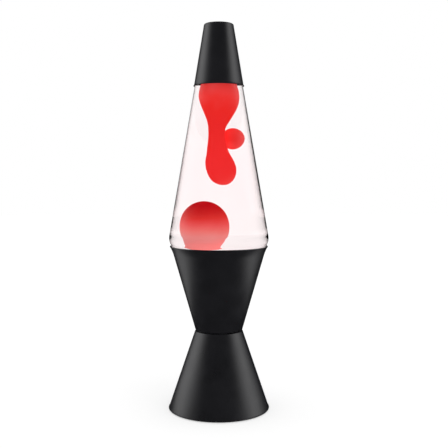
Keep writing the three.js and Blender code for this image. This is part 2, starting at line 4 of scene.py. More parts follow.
import bpy
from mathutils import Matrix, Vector


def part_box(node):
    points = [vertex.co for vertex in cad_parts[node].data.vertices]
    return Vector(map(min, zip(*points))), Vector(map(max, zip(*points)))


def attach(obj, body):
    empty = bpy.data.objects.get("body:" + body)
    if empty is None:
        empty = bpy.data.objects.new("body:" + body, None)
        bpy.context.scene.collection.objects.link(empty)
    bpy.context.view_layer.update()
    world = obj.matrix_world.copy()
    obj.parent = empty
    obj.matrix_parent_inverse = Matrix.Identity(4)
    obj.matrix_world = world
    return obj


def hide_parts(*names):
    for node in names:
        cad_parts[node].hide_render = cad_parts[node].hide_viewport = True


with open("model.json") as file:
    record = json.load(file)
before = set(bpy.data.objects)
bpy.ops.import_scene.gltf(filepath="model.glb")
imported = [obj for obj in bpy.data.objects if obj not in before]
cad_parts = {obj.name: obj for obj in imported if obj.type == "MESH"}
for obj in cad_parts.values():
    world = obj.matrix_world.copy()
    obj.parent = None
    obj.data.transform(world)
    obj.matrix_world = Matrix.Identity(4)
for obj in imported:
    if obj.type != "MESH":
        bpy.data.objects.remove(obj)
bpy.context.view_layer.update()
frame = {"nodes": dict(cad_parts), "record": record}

mm = 0.001
scene = bpy.context.scene
scene.view_settings.view_transform = "Standard"
print("frame loaded:", len(frame["nodes"]), "nodes")


def linear(hexColour):
    channels = [int(hexColour[i:i + 2], 16) / 255 for i in (1, 3, 5)]
    return [c / 12.92 if c <= 0.04045 else ((c + 0.055) / 1.055) ** 2.4 for c in channels] + [1]


def perMm(size):
    return 1 / (size * mm)  # texture scale whose features are this many millimetres wide


def deselectAll():
    if bpy.context.object and bpy.context.object.mode != "OBJECT":
        bpy.ops.object.mode_set(mode="OBJECT")
    bpy.ops.object.select_all(action="DESELECT")


def selectOnly(piece):
    deselectAll()
    piece.select_set(True)
    bpy.context.view_layer.objects.active = piece


def pickVertices(piece, test):
    # leaves edit mode on, with just the vertices that pass the test selected
    selectOnly(piece)
    bpy.ops.object.mode_set(mode="EDIT")
    bpy.ops.mesh.select_mode(type="VERT")
    bpy.ops.mesh.select_all(action="DESELECT")
    bpy.ops.object.mode_set(mode="OBJECT")
    for vertex in piece.data.vertices:
        vertex.select = test(vertex.co)
    bpy.ops.object.mode_set(mode="EDIT")


def arc(r, z, radius, start, end, steps=8):
    angles = [math.radians(start + (end - start) * i / steps) for i in range(steps + 1)]
    return [(r + radius * math.cos(a), z + radius * math.sin(a)) for a in angles]


def rounded(corners, steps=8):
    # corners are (radius, height) or (radius, height, rounding)
    path = []
    for i, corner in enumerate(corners):
        here = Vector(corner[:2])
        if len(corner) < 3:
            path.append(tuple(here))
            continue
        back = Vector(corners[i - 1][:2]) - here
        on = Vector(corners[i + 1][:2]) - here
        half = back.angle(on) / 2
        reach = min(corner[2] / math.tan(half), back.length / 2, on.length / 2)
        middle = (back.normalized() + on.normalized()).normalized()
        centre = here + middle * reach / math.cos(half)
        start = here + back.normalized() * reach - centre
        end = here + on.normalized() * reach - centre
        turn = start.angle_signed(end)
        for step in range(steps + 1):
            angle = -turn * step / steps
            x = start.x * math.cos(angle) - start.y * math.sin(angle)
            y = start.x * math.sin(angle) + start.y * math.cos(angle)
            path.append((centre.x + x, centre.y + y))
    return path


def inward(path, distance):
    # the same path moved to its left, towards the axis where it climbs
    moved = []
    for i, here in enumerate(path):
        here = Vector(here)
        arriving = (here - Vector(path[i - 1])) if i else Vector(path[1]) - here
        leaving = (Vector(path[i + 1]) - here) if i + 1 < len(path) else arriving
        arriving, leaving = arriving.normalized(), leaving.normalized()
        side = Vector((-arriving.y - leaving.y, arriving.x + leaving.x))
        moved.append(tuple(here + side * distance / (1 + arriving.dot(leaving))))
    return moved


def turned(name, outline, steps=144, smoothAngle=35, at=(0, 0, 0)):
    # spins an outline in millimetres about the upright axis through a point
    deselectAll()
    bpy.ops.mesh.primitive_plane_add(size=mm, location=(0, 0, 0))
    piece = bpy.context.object
    piece.name = piece.data.name = name
    bpy.ops.object.mode_set(mode="EDIT")
    bpy.ops.mesh.select_mode(type="VERT")
    bpy.ops.mesh.select_all(action="SELECT")
    bpy.ops.mesh.merge(type="CENTER")
    points = [Vector((r * mm, 0, z * mm)) for r, z in outline]
    onAxis = points[0].x == 0 and points[-1].x == 0
    points += [] if onAxis else [points[0]]
    start = Vector(at) + points[0]
    bpy.ops.transform.translate(value=start)
    for before, point in zip(points, points[1:]):
        bpy.ops.mesh.extrude_vertices_move(TRANSFORM_OT_translate={"value": point - before})
    bpy.ops.mesh.select_all(action="SELECT")
    bpy.ops.mesh.spin(steps=steps, angle=math.tau, center=at, axis=(0, 0, 1))
    tidyMesh()
    bpy.ops.object.mode_set(mode="OBJECT")
    bpy.ops.object.shade_smooth_by_angle(angle=math.radians(smoothAngle))
    return piece


def tidyMesh():
    bpy.ops.mesh.select_all(action="SELECT")
    bpy.ops.mesh.remove_doubles(threshold=1e-6)
    bpy.ops.mesh.dissolve_degenerate(threshold=1e-7)
    bpy.ops.mesh.select_all(action="SELECT")
    bpy.ops.mesh.normals_make_consistent(inside=False)


def ringStack(name, rings, around=32, level=2):
    # rings of (height, radius, x, y) in millimetres from the bottom up, extruded one from another
    deselectAll()
    z, radius, x, y = rings[0]
    bpy.ops.mesh.primitive_circle_add(vertices=around, radius=radius * mm, location=(0, 0, 0))
    piece = bpy.context.object
    piece.name = piece.data.name = name
    bpy.ops.object.mode_set(mode="EDIT")
    bpy.ops.mesh.select_all(action="SELECT")
    centre = Vector((x, y, z)) * mm
    bpy.ops.transform.translate(value=centre)
    bpy.ops.mesh.edge_face_add()
    bpy.ops.mesh.select_mode(type="EDGE")
    for (_, before, _, _), (z, radius, x, y) in zip(rings, rings[1:]):
        step = Vector((x, y, z)) * mm - centre
        centre += step
        bpy.ops.mesh.extrude_region_move(TRANSFORM_OT_translate={"value": step})
        grow = radius / before
        bpy.ops.transform.resize(value=(grow, grow, 1), center_override=centre)
    bpy.ops.mesh.select_all(action="SELECT")
    bpy.ops.mesh.normals_make_consistent(inside=False)
    bpy.ops.object.mode_set(mode="OBJECT")
    smooth = piece.modifiers.new("smooth", "SUBSURF")
    smooth.levels = smooth.render_levels = level
    bpy.ops.object.modifier_apply(modifier=smooth.name)
    bpy.ops.object.shade_smooth()
    return piece


def coiledWire(name, centreLine, coilRadius, turns, wireRadius, stepsPerTurn=12):
    # a wire wound round a centre line, given as a function from 0 to 1 in metres
    count = turns * stepsPerTurn
    deselectAll()
    bpy.ops.curve.primitive_nurbs_path_add()
    curve = bpy.context.object
    curve.name = name
    curve.data.splines.clear()
    curve.data.bevel_depth = wireRadius * mm
    curve.data.bevel_resolution = 1
    curve.data.use_fill_caps = True
    spline = curve.data.splines.new("POLY")
    spline.points.add(count)
    for i in range(count + 1):
        here = centreLine(i / count)
        along = (centreLine((i + 0.5) / count) - centreLine((i - 0.5) / count)).normalized()
        side = along.cross(Vector((0, 0, 1))).normalized()
        angle = math.tau * i / stepsPerTurn
        out = side * math.cos(angle) + Vector((0, 0, 1)) * math.sin(angle)
        spline.points[i].co = (*(here + out * coilRadius * mm), 1)
    bpy.ops.object.convert(target="MESH")
    piece = bpy.context.object
    piece.data.name = name
    bpy.ops.object.shade_smooth()
    return piece


def addNode(tree, kind, settings=None, values=None, links=None):
    node = tree.nodes.new(kind)
    for key, value in (settings or {}).items():
        setattr(node, key, value)
    for key, value in (values or {}).items():
        node.inputs[key].default_value = value
    for key, socket in (links or {}).items():
        tree.links.new(socket, node.inputs[key])
    return node


def newMaterial(name, **values):
    material = bpy.data.materials.new(name)
    material.use_nodes = True
    tree = material.node_tree
    shader = tree.nodes["Principled BSDF"]
    for key, value in values.items():
        socket = shader.inputs[socketNames.get(key, key)]
        socket.default_value = value
    coords = addNode(tree, "ShaderNodeTexCoord").outputs["Object"]
    return material, tree, shader, coords


socketNames = {
    "metallic": "Metallic",
    "roughness": "Roughness",
    "ior": "IOR",
    "transmission": "Transmission Weight",
    "coat": "Coat Weight",
    "coatRoughness": "Coat Roughness",
    "glow": "Emission Color",
    "glowStrength": "Emission Strength",
    "specular": "Specular IOR Level",
    "specularTint": "Specular Tint",
}


def speckle(tree, coords, size, detail=3.0):
    noise = addNode(
        tree, "ShaderNodeTexNoise",
        values={"Scale": perMm(size), "Detail": detail},
        links={"Vector": coords},
    )
    return noise.outputs["Fac"]


def between(tree, socket, low, high, fromLow=0.3, fromHigh=0.7):
    node = addNode(
        tree, "ShaderNodeMapRange",
        values={"From Min": fromLow, "From Max": fromHigh, "To Min": low, "To Max": high},
        links={"Value": socket},
    )
    return node.outputs["Result"]


def colourBetween(tree, socket, *stops):
    # stops are (place, hex colour)
    node = addNode(tree, "ShaderNodeValToRGB", links={"Fac": socket})
    ramp = node.color_ramp
    while len(ramp.elements) < len(stops):
        ramp.elements.new(0.5)
    for element, (place, colour) in zip(ramp.elements, sorted(stops)):
        element.position = place
        element.color = linear(colour)
    return node.outputs["Color"]


def bumped(tree, shader, socket, height, strength=1.0):
    bump = addNode(
        tree, "ShaderNodeBump",
        values={"Strength": strength, "Distance": height * mm},
        links={"Height": socket},
    )
    tree.links.new(bump.outputs["Normal"], shader.inputs["Normal"])


# Satin black powder coat: baked on, so it has a faint orange peel and softens every reflection.
def powderCoat():
    material, tree, shader, coords = newMaterial("satinBlackPowderCoat", ior=1.5)
    peel = speckle(tree, coords, 0.9)
    haze = speckle(tree, coords, 18)
    colour = colourBetween(tree, haze, (0.3, "#151518"), (0.7, "#1a1a1e"))
    tree.links.new(colour, shader.inputs["Base Color"])
    tree.links.new(between(tree, haze, 0.27, 0.35), shader.inputs["Roughness"])
    bumped(tree, shader, peel, 0.006)
    return material


# EPDM rubber: moulded and dusty, so it is dull with a fine grain.
def mouldedRubber():
    material, tree, shader, coords = newMaterial("mouldedRubber", ior=1.52)
    grain = speckle(tree, coords, 0.5)
    dust = speckle(tree, coords, 6)
    tree.links.new(
        colourBetween(tree, dust, (0.35, "#141414"), (0.7, "#242322")), shader.inputs["Base Color"])
    tree.links.new(between(tree, grain, 0.65, 0.85), shader.inputs["Roughness"])
    bumped(tree, shader, grain, 0.02)
    return material


# Phenolic resin: pressed in a hot mould, dark brown with wood-flour flecks and a dull gloss.
def phenolicResin():
    material, tree, shader, coords = newMaterial("phenolicResin", ior=1.6)
    flecks = speckle(tree, coords, 0.7, 5.0)
    tree.links.new(
        colourBetween(tree, flecks, (0.35, "#1d120d"), (0.68, "#3a2317")), shader.inputs["Base Color"])
    tree.links.new(between(tree, flecks, 0.3, 0.45), shader.inputs["Roughness"])
    bumped(tree, shader, flecks, 0.01)
    return material


# Rolled brass: stamped and thread-rolled, warm and bright with brown tarnish in the dull patches.
def rolledBrass():
    material, tree, shader, coords = newMaterial("rolledBrass", metallic=1)
    tarnish = speckle(tree, coords, 2.5)
    scratches = speckle(tree, coords, 0.3)
    tree.links.new(
        colourBetween(tree, tarnish, (0.3, "#9a7434"), (0.6, "#d9b467")), shader.inputs["Base Color"])
    tree.links.new(between(tree, tarnish, 0.42, 0.22), shader.inputs["Roughness"])
    bumped(tree, shader, scratches, 0.004)
    return material


# Zinc-plated steel: barrel plated, so it is grey with a cloudy crystalline sheen.
def zincPlate():
    material, tree, shader, coords = newMaterial("zincPlatedSteel", metallic=1)
    clouds = speckle(tree, coords, 1.6)
    tree.links.new(
        colourBetween(tree, clouds, (0.3, "#9b9da1"), (0.7, "#c9cbcf")), shader.inputs["Base Color"])
    tree.links.new(between(tree, clouds, 0.25, 0.45), shader.inputs["Roughness"])
    bumped(tree, shader, clouds, 0.003)
    return material


# Drawn spring steel: grey wire with faint die lines.
def springSteel():
    material, tree, shader, coords = newMaterial("drawnSpringSteel", metallic=1)
    lines = speckle(tree, coords, 0.4)
    tree.links.new(
        colourBetween(tree, lines, (0.3, "#77797c"), (0.7, "#a5a7aa")), shader.inputs["Base Color"])
    tree.links.new(between(tree, lines, 0.2, 0.4), shader.inputs["Roughness"])
    return material


# Vulcanised fibre board: pressed paper, black and dull with short fibres showing.
def fibreBoard():
    material, tree, shader, coords = newMaterial("vulcanisedFibreBoard", ior=1.5)
    fibres = speckle(tree, coords, 0.8, 6.0)
    tree.links.new(
        colourBetween(tree, fibres, (0.35, "#161617"), (0.7, "#2c2c2d")), shader.inputs["Base Color"])
    tree.links.new(between(tree, fibres, 0.6, 0.8), shader.inputs["Roughness"])
    bumped(tree, shader, fibres, 0.02)
    return material


# Tin-lead solder: a frozen drop, dull grey with flow ripples.
def dullSolder():
    material, tree, shader, coords = newMaterial("dullSolder", metallic=1)
    ripple = speckle(tree, coords, 1.2)
    tree.links.new(
        colourBetween(tree, ripple, (0.3, "#7f7f7c"), (0.7, "#b3b3af")), shader.inputs["Base Color"])
    tree.links.new(between(tree, ripple, 0.35, 0.5), shader.inputs["Roughness"])
    bumped(tree, shader, ripple, 0.03)
    return material


# Vitrite: black glass cast round the contact, shiny with tiny pits.
def castBlackGlass():
    material, tree, shader, coords = newMaterial("castBlackGlass", ior=1.52)
    pits = speckle(tree, coords, 0.9)
    tree.links.new(
        colourBetween(tree, pits, (0.3, "#0c0b10"), (0.7, "#1b1922")), shader.inputs["Base Color"])
    tree.links.new(between(tree, pits, 0.06, 0.16), shader.inputs["Roughness"])
    bumped(tree, shader, pits, 0.01)
    return material


# Blown lamp glass: thin and clear, with slight waves from the mould, and a faint warm painted glow for the
# filament's light caught in the glass.
def lampGlass():
    # the warm glow set here is painted light from the filament, not light made by the glass
    material, tree, shader, coords = newMaterial(
        "blownLampGlass", transmission=1, ior=1.5, roughness=0, glow=linear("#ffb46b"), glowStrength=0.06)
    waves = speckle(tree, coords, 9, 1.0)
    tree.links.new(
        colourBetween(tree, waves, (0.3, "#fdf8ee"), (0.7, "#fffdf8")), shader.inputs["Base Color"])
    bumped(tree, shader, waves, 0.02)
    return material


# Tungsten: a coiled coil, white hot in the middle and orange at its clamps.
def hotTungsten():
    material, tree, shader, coords = newMaterial("hotTungsten", metallic=1, roughness=0.4, glowStrength=7)
    apart = addNode(tree, "ShaderNodeSeparateXYZ", links={"Vector": coords})
    across = addNode(tree, "ShaderNodeMath", {"operation": "ABSOLUTE"}, links={0: apart.outputs["X"]})
    share = between(tree, across.outputs[0], 0, 1, 0, filament["archRadius"] * mm)
    heat = colourBetween(tree, share, (0, "#fff1cf"), (0.8, "#ffc35a"), (1, "#ff7a1e"))
    tree.links.new(heat, shader.inputs["Emission Color"])
    tree.links.new(heat, shader.inputs["Base Color"])
    return material


# Container glass: press-and-blow bottle glass, clear with broad waves in the wall, and darkened with painted
# shade
#  towards its outline, where the eye looks along the wall.
def bottleGlass():
    material, tree, shader, coords = newMaterial(
        "clearBottleGlass", transmission=1, ior=1.5, roughness=0, specularTint=linear("#5c5c5c"))
    waves = speckle(tree, coords, 30, 1.0)
    # painted shade: the glass colour goes dark grey at the outline, where the wall is seen edge on
    facing = addNode(tree, "ShaderNodeLayerWeight", values={"Blend": 0.5}).outputs["Facing"]
    tint = colourBetween(tree, facing, (0, "#ffffff"), (0.66, "#fbfbfb"), (0.82, "#bcbaba"), (1, "#4a4848"))
    tree.links.new(tint, shader.inputs["Base Color"])
    bumped(tree, shader, waves, 0.03)
    return material


# Water: clear, with a faint pink painted in for the glow of the lit wax, a little deeper low down and paler
# at the top.
def waterWithPaintedGlow():
    material, tree, shader, coords = newMaterial(
        "waterWithPaintedGlow", transmission=1, ior=1.33, roughness=0, specularTint=linear("#000000"))
    apart = addNode(tree, "ShaderNodeSeparateXYZ", links={"Vector": coords})
    low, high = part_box("liquid")
    share = between(tree, apart.outputs["Z"], 0, 1, low.z, high.z)
    # painted glow: the pink along the height stands in for the lit wax's light in the water
    tint = colourBetween(tree, share, (0.1, "#fdf3f3"), (0.45, "#fef1f2"), (0.9, "#fef7f7"))
    tree.links.new(tint, shader.inputs["Base Color"])
    return material


# Paraffin wax: dyed red, molten and cloudy. The bulb's light shining through it is painted in: a painted
# glow, and colour along its height that is paler where the light is painted stronger.
def paraffinWax(name, *stops, node, clouding=0.08):
    # the emission set here is a painted glow for the bulb's light passing through the wax
    material, tree, shader, coords = newMaterial(
        name, roughness=0.6, ior=1.44, specular=0, glowStrength=0.6)
    apart = addNode(tree, "ShaderNodeSeparateXYZ", links={"Vector": coords})
    low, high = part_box(node)
    share = between(tree, apart.outputs["Z"], 0, 1, low.z, high.z)
    clouds = speckle(tree, coords, 14, 2.0)
    cloudy = addNode(
        tree, "ShaderNodeMath", {"operation": "MULTIPLY_ADD"},
        values={1: clouding}, links={0: clouds, 2: share})
    centred = addNode(
        tree, "ShaderNodeMath", {"operation": "SUBTRACT"},
        values={1: clouding / 2}, links={0: cloudy.outputs[0]})
    # the colour along the height is painted light, used both as the colour and as the painted glow
    colour = colourBetween(tree, centred.outputs[0], *stops)
    tree.links.new(colour, shader.inputs["Base Color"])
    tree.links.new(colour, shader.inputs["Emission Color"])
    return material


# Lacquered tinplate: pressed steel under gold lacquer, bright, with stretch marks from the flutes.
def goldTinplate():
    material, tree, shader, coords = newMaterial(
        "goldLacqueredTinplate", metallic=1, coat=0.5, coatRoughness=0.1)
    marks = speckle(tree, coords, 0.8)
    tree.links.new(
        colourBetween(tree, marks, (0.3, "#b98d3f"), (0.7, "#dcb463")), shader.inputs["Base Color"])
    tree.links.new(between(tree, marks, 0.22, 0.34), shader.inputs["Roughness"])
    bumped(tree, shader, marks, 0.004)
    return material


# Foamed liner: off-white closed-cell plastic, chalky and dull.
def foamLiner():
    material, tree, shader, coords = newMaterial("foamedLiner", ior=1.49)
    cells = speckle(tree, coords, 0.5)
    tree.links.new(
        colourBetween(tree, cells, (0.3, "#c9c3b8"), (0.7, "#e0dbd1")), shader.inputs["Base Color"])
    tree.links.new(between(tree, cells, 0.7, 0.9), shader.inputs["Roughness"])
    bumped(tree, shader, cells, 0.02)
    return material


camera = {"lens": 60, "sensor": 36, "nearest": 0.01, "away": 0.716, "height": 0.2224,
          "down": 3.462, "turn": 0.3952}

bpy.ops.object.camera_add(
    location=(0, -camera["away"], camera["height"]),
    rotation=(math.radians(90 - camera["down"]), 0, -math.radians(camera["turn"])),
)
scene.camera = bpy.context.object
scene.camera.data.lens = camera["lens"]
scene.camera.data.sensor_width = camera["sensor"]
scene.camera.data.clip_start = camera["nearest"]
print("camera ready")


foot = {"wall": 0.8, "topRadius": 22.85, "shoulder": 1.2, "bead": 0.6, "beadProud": 0.35,
        "lipWidth": 3.0, "lip": 0.6, "hole": 13.2}


def makeFoot():
    low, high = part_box("foot_cone")
    rim, top, widest = low.z / mm, high.z / mm, high.x / mm
    base = widest - foot["beadProud"]
    tilt = math.atan2(base - foot["topRadius"], top - rim - foot["bead"])
    lean = math.tan(tilt)
    run = foot["wall"] / math.cos(tilt)
    beadTop = rim + 2 * foot["bead"]
    lipTop = rim + foot["lip"]
    outerAt = lambda z: foot["topRadius"] + (top - z) * lean
    innerAt = lambda z: outerAt(z) - run
    lipRadius = innerAt(rim) - foot["lipWidth"]
    side = rounded([
        (outerAt(beadTop), beadTop),
        (foot["topRadius"], top, foot["shoulder"]),
        (foot["hole"], top),
    ])
    outline = [
        (lipRadius, rim),
        *arc(widest - foot["bead"], rim + foot["bead"], foot["bead"], -90, 62),
        *side,
        (foot["hole"], top - foot["wall"]),
        (innerAt(top - foot["wall"]), top - foot["wall"]),
        (innerAt(lipTop), lipTop),
        (lipRadius, lipTop),
    ]
    piece = turned("footShell", outline, smoothAngle=30)
    boreInlet(piece, outerAt, tilt)
    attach(piece, "base")
    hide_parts("foot_cone")
    piece.data.materials.append(paint)
    return outerAt, tilt


inlet = {"height": 13.0, "bore": 2.4, "neck": 3.9, "flange": 5.4, "flangeThickness": 1.3, "gap": 0.3}


def boreInlet(shell, outerAt, tilt):
    deselectAll()
    bpy.ops.mesh.primitive_cylinder_add(
        vertices=48, radius=(inlet["neck"] + inlet["gap"]) * mm, depth=5 * mm,
        location=(0, outerAt(inlet["height"]) * mm, inlet["height"] * mm),
        rotation=(tilt - math.pi / 2, 0, 0))
    drill = bpy.context.object
    selectOnly(shell)
    hole = shell.modifiers.new("hole", "BOOLEAN")
    hole.operation = "DIFFERENCE"
    hole.solver = "EXACT"
    hole.object = drill
    bpy.ops.object.modifier_apply(modifier=hole.name)
    bpy.data.objects.remove(drill)


def makeBushing(outerAt, tilt):
    thick = inlet["flangeThickness"]
    sag = inlet["flange"] ** 2 / (2 * outerAt(inlet["height"]))
    inner = -foot["wall"] - inlet["gap"] - sag
    outline = rounded([
        (inlet["bore"], inner - thick),
        (inlet["flange"], inner - thick, 0.5),
        (inlet["flange"], inner, 0.3),
        (inlet["neck"], inner),
        (inlet["neck"], inlet["gap"]),
        (inlet["flange"], inlet["gap"], 0.3),
        (inlet["flange"], inlet["gap"] + thick, 0.6),
        (inlet["bore"], inlet["gap"] + thick),
    ], 4)
    piece = turned("cordInletBushing", outline, steps=64, smoothAngle=40)
    piece.rotation_euler.x = tilt - math.pi / 2
    piece.location = (0, outerAt(inlet["height"]) * mm, inlet["height"] * mm)
    bpy.ops.object.transform_apply(location=True, rotation=True, scale=True)
    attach(piece, "base")
    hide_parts("cord_inlet_bushing")
    piece.data.materials.append(rubber)


cup = {"wall": 0.8, "bottomRadius": 22.55, "corner": 1.6, "bead": 0.6, "beadProud": 0.3,
       "flare": 1.0, "flareHeight": 9.0, "flareSteps": 8, "hole": 13.2}


def makeCup():
    low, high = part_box("cup_cone")
    bottom, top, widest = low.z / mm, high.z / mm, high.x / mm
    rimRadius = widest - cup["beadProud"] - cup["flare"]
    tilt = math.atan2(rimRadius - cup["bottomRadius"], top - cup["bead"] - bottom)
    run = cup["wall"] / math.cos(tilt)
    beadStart = top - 2 * cup["bead"]
    flareStart = top - cup["flareHeight"]
    outerAt = lambda z: cup["bottomRadius"] + (z - bottom) * math.tan(tilt)
    floor = bottom + cup["wall"]
    shares = [i / cup["flareSteps"] for i in range(1, cup["flareSteps"] + 1)]
    flare = [(cup["flare"] * t ** 2, flareStart + t * (beadStart - flareStart)) for t in shares]
    outline = [
        *rounded([
            (cup["hole"], bottom),
            (cup["bottomRadius"], bottom, cup["corner"]),
            (outerAt(flareStart), flareStart),
        ]),
        *[(outerAt(z) + out, z) for out, z in flare],
        *arc(widest - cup["bead"], top - cup["bead"], cup["bead"], -45, 180),
        *[(outerAt(z) - run + out, z) for out, z in reversed(flare)],
        *rounded([
            (outerAt(flareStart) - run, flareStart),
            (outerAt(floor) - run, floor, cup["corner"] - cup["wall"]),
            (cup["hole"], floor),
        ]),
    ]
    piece = turned("cupShell", outline, smoothAngle=30)
    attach(piece, "base")
    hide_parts("cup_cone")
    piece.data.materials.append(paint)


cap = {"wall": 0.55, "topRadius": 13.93, "edge": 1.4, "lipProud": 0.55, "lipHeight": 1.6, "flareHeight": 0.9}


def makeCap():
    low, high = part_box("top_cap")
    lip, top, widest = low.z / mm, high.z / mm, high.x / mm
    lipRadius = widest - cap["lipProud"]
    lean = (lipRadius - cap["topRadius"]) / (top - lip)
    outerAt = lambda z: cap["topRadius"] + (top - z) * lean
    outer = rounded([
        (outerAt(lip + cap["lipHeight"]), lip + cap["lipHeight"]),
        (cap["topRadius"], top, cap["edge"]),
        (0, top),
    ])
    inner = rounded([
        (0, top - cap["wall"]),
        (outerAt(top - cap["wall"]) - cap["wall"], top - cap["wall"], cap["edge"] - cap["wall"]),
        (lipRadius - cap["wall"], lip),
    ])
    flare = [
        (widest - 0.12, lip),
        (widest, lip + 0.12),
        (widest - 0.15, lip + 0.4),
        (outerAt(lip + cap["flareHeight"]) + 0.12, lip + cap["flareHeight"]),
    ]
    piece = turned("topCap", [*reversed(inner), *flare, *outer], smoothAngle=30)
    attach(piece, "cap")
    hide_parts("top_cap")
    piece.data.materials.append(paint)


paint = powderCoat()
rubber = mouldedRubber()
footOuterAt, footTilt = makeFoot()
makeBushing(footOuterAt, footTilt)
makeCup()
makeCap()
print("black shells made")


globe = {"wall": 2.4, "kneeRadius": 48.35, "kneeAboveRim": 5.5, "kneeRounding": 14, "corner": 6,
         "shoulderRadius": 17.0, "shoulderRounding": 4, "neckHeight": 7.2, "neckSlope": 3.2,
         "neckRadius": 13.3, "throatRadius": 8.2, "punt": 1.0, "puntInset": 9.5, "baseRadius": 31.29}


def globePath():
    low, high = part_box("globe_glass")
    bottom, mouth = low.z / mm, high.z / mm
    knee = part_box("cup_cone")[1].z / mm + globe["kneeAboveRim"]
    shoulder = mouth - globe["neckHeight"] - globe["neckSlope"]
    return bottom, mouth, [
        (globe["baseRadius"], bottom, globe["corner"]),
        (globe["kneeRadius"], knee, globe["kneeRounding"]),
        (globe["shoulderRadius"], shoulder, globe["shoulderRounding"]),
        (globe["neckRadius"], mouth - globe["neckHeight"], 1.0),
        (globe["neckRadius"], mouth),
    ]


def makeGlobe():
    bottom, mouth, side = globePath()
    inside = inward(rounded([(0, bottom), *side], 12), globe["wall"])
    shoulderInside = [p for p in inside if p[1] < mouth - globe["neckHeight"] - 1.5]
    throatStart = shoulderInside[-1][1] + 1
    puntEdge = globe["baseRadius"] - globe["puntInset"]
    outside = rounded([(0, bottom + globe["punt"]), (puntEdge, bottom, 8), *side], 12)
    outline = [
        *outside[:-1],
        *rounded([
            outside[-2],
            (globe["neckRadius"], mouth, 0.6),
            (globe["throatRadius"], mouth, 0.8),
            (globe["throatRadius"], throatStart, 1.0),
            shoulderInside[-1],
        ], 4)[1:],
        *reversed(shoulderInside[:-1]),
    ]
    piece = turned("globeGlass", outline, steps=160, smoothAngle=50)
    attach(piece, "globe")
    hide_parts("globe_glass")
    piece.data.materials.append(bottleGlass())


liquid = {"intoGlass": 0.2, "meniscus": [(0.5, 0.35), (1.5, 0.6), (3, 0.7)]}  # in from the wall, down


def wetWall(gap):
    # the globe's inner wall from the axis outwards and up, a gap away from the glass
    bottom, _, side = globePath()
    return inward(rounded([(0, bottom), *side], 12), globe["wall"] + gap)


def upTo(path, height):
    # the path below a height, and the point where it passes that height
    below = [p for p in path if p[1] < height]
    before, after = path[len(below) - 1], path[len(below)]
    share = (height - before[1]) / (after[1] - before[1])
    return [*below, (before[0] + share * (after[0] - before[0]), height)]


def makeLiquid():
    # the liquid reaches just into the glass, so that no film of air shows between them
    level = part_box("liquid")[1].z / mm
    wet = upTo(wetWall(-liquid["intoGlass"]), level)
    edge = wet[-1][0]
    surface = [(edge - aside, level - down) for aside, down in liquid["meniscus"]]
    outline = [*wet, *surface, (0, surface[-1][1])]
    piece = turned("liquidWithPaintedGlow", outline, steps=160, smoothAngle=50)
    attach(piece, "globe")
    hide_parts("liquid")
    piece.data.materials.append(waterWithPaintedGlow())


crown = {"flutes": 21, "thickness": 0.35, "fluteDepth": 0.6, "skirt": 6.0, "clearance": 0.3,
         "fluteTop": 3.2, "fluteTopDepth": 0.55, "shoulder": 2.2}


def makeCrown():
    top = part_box("crown_cap")[1].z / mm
    outer = globe["neckRadius"] + crown["clearance"] + crown["thickness"] + crown["fluteDepth"] / 2
    skirt = top - crown["skirt"]
    fluteTop = top - crown["fluteTop"]
    outside = rounded([
        (outer, skirt),
        (outer, fluteTop),
        (outer, top - 0.4, 2.0),
        (outer - crown["shoulder"], top, 1.0),
        (0, top),
    ], 6)
    shell = [*outside, *reversed(inward(outside, crown["thickness"]))]
    shell[-1] = (outer - crown["thickness"], skirt)
    shell[len(outside)] = (0, top - crown["thickness"])
    shell = [(max(r, 0), z) for r, z in shell]
    onAxis = [*shell[len(outside):], *shell[:len(outside)]]
    piece = turned("crownClosure", onAxis, steps=crown["flutes"] * 8, smoothAngle=50)
    # the flutes go out and in at the skirt, and less so where they start
    for share, lowest, highest in (
            (1.0, skirt - 0.1, skirt + 0.1),
            (crown["fluteTopDepth"], fluteTop - 0.2, fluteTop + 0.3)):
        for side in (1, -1):
            pickVertices(piece, lambda co: lowest < co.z / mm < highest
                         and side * math.cos(crown["flutes"] * math.atan2(co.y, co.x)) > 0.5)
            grow = 1 + side * share * crown["fluteDepth"] / 2 / outer
            bpy.ops.transform.resize(value=(grow, grow, 1), center_override=(0, 0, 0))
            bpy.ops.object.mode_set(mode="OBJECT")
    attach(piece, "globe")
    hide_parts("crown_cap")
    piece.data.materials.append(goldTinplate())


makeGlobe()
makeLiquid()
makeCrown()
print("globe made")


# height above the bottom as a share, radius, sideways shift
columnRings = [
    (0, 1.4, 3.2), (0.004, 3.2, 3.2), (0.014, 5.1, 3.0), (0.03, 7.1, 2.7), (0.05, 8.6, 2.6),
    (0.075, 9.7, 2.5), (0.1, 10.5, 2.3), (0.13, 10.9, 1.9), (0.16, 11.1, 1.5), (0.19, 10.7, 1.0),
    (0.22, 10, 0.5), (0.25, 9, 0), (0.28, 8, -0.6), (0.32, 7.2, -0.9), (0.37, 6.5, -1.2),
    (0.41, 6.1, -1.3), (0.45, 5.9, -1.4), (0.48, 6.1, -1.3), (0.51, 6.8, -0.8), (0.54, 7.9, -0.2),
    (0.58, 9.5, 0.3), (0.61, 10.8, 0.5), (0.64, 12, 0.7), (0.68, 13.4, 0.7), (0.72, 14.3, 0.5),
    (0.75, 14.6, 0.3), (0.78, 14.6, 0.2), (0.82, 13.9, 0.2), (0.86, 12.9, 0.1), (0.9, 11.6, 0),
    (0.95, 10.2, 0), (1, 9.2, 0),
]


